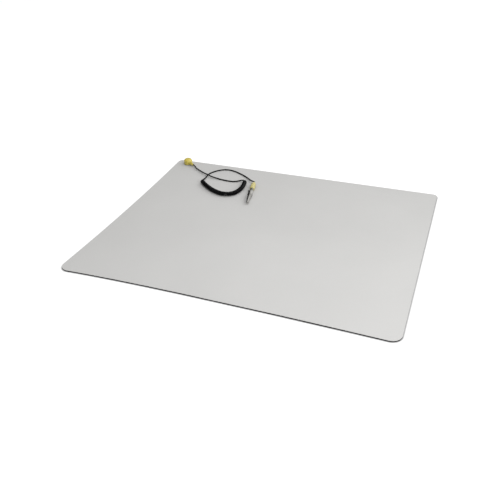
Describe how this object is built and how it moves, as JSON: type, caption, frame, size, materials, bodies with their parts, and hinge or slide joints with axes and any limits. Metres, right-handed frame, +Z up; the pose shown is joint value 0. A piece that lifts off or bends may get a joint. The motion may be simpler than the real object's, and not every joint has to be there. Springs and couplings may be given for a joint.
{
  "type": "anti-static bench mat with grounding cord",
  "caption": "Thin two-layer static dissipative bench mat with a snap stud and a curly grounding cord ending in a plug and crocodile clip.",
  "frame": {"origin": "middle of the mat's underside, where its two centre lines cross", "axes": "+X along the mat's long side, +Y towards the far long side that has the snap, +Z up out of the working face"},
  "size_m": [0.6, 0.5, 0.0158],
  "materials": {
    "pale_rubber": "matt pale grey sheet with a faint embossed grain",
    "black_rubber": "matt black conductive sheet",
    "nickel": "bright nickel plate",
    "clip_steel": "nickel-plated pressed steel",
    "yellow_plastic": "satin moulded plastic",
    "pale_yellow_plastic": "satin moulded plastic, paler than the snap head",
    "black_cord": "smooth black cord sheath"
  },
  "bodies": {
    "mat_and_cord": {"dissipative_top_layer": "pale_rubber", "conductive_base_layer": "black_rubber", "snap_stud": "nickel", "snap_rivet": "nickel", "cord_tail_snap": "black_cord", "cord_coil": "black_cord", "cord_tail_plug": "black_cord", "plug_handle": "pale_yellow_plastic", "plug_pin": "nickel", "clip_lower_jaw": "clip_steel", "clip_pivot_pin": "clip_steel", "clip_spring": "clip_steel"},
    "snap_head_body": {"snap_head": "yellow_plastic", "snap_socket": "nickel"},
    "clip_jaw_body": {"clip_upper_jaw": "clip_steel"}
  },
  "joints": [
    {"name": "snap_swivel", "type": "hinge", "parent": "mat_and_cord", "child": "snap_head_body", "pos_m": [-0.272, 0.234, 0.006], "axis": [0, 0, 1], "range_deg": [-20, 20]},
    {"name": "clip_jaw_hinge", "type": "hinge", "parent": "mat_and_cord", "child": "clip_jaw_body", "pos_m": [-0.07268, 0.11689, 0.00755], "axis": [-0.9813, -0.1925, 0], "range_deg": [0, 22], "stiffness_Nm_per_rad": 0.15, "springref_deg": -34.38, "deforming": ["clip_spring"]}
  ]
}
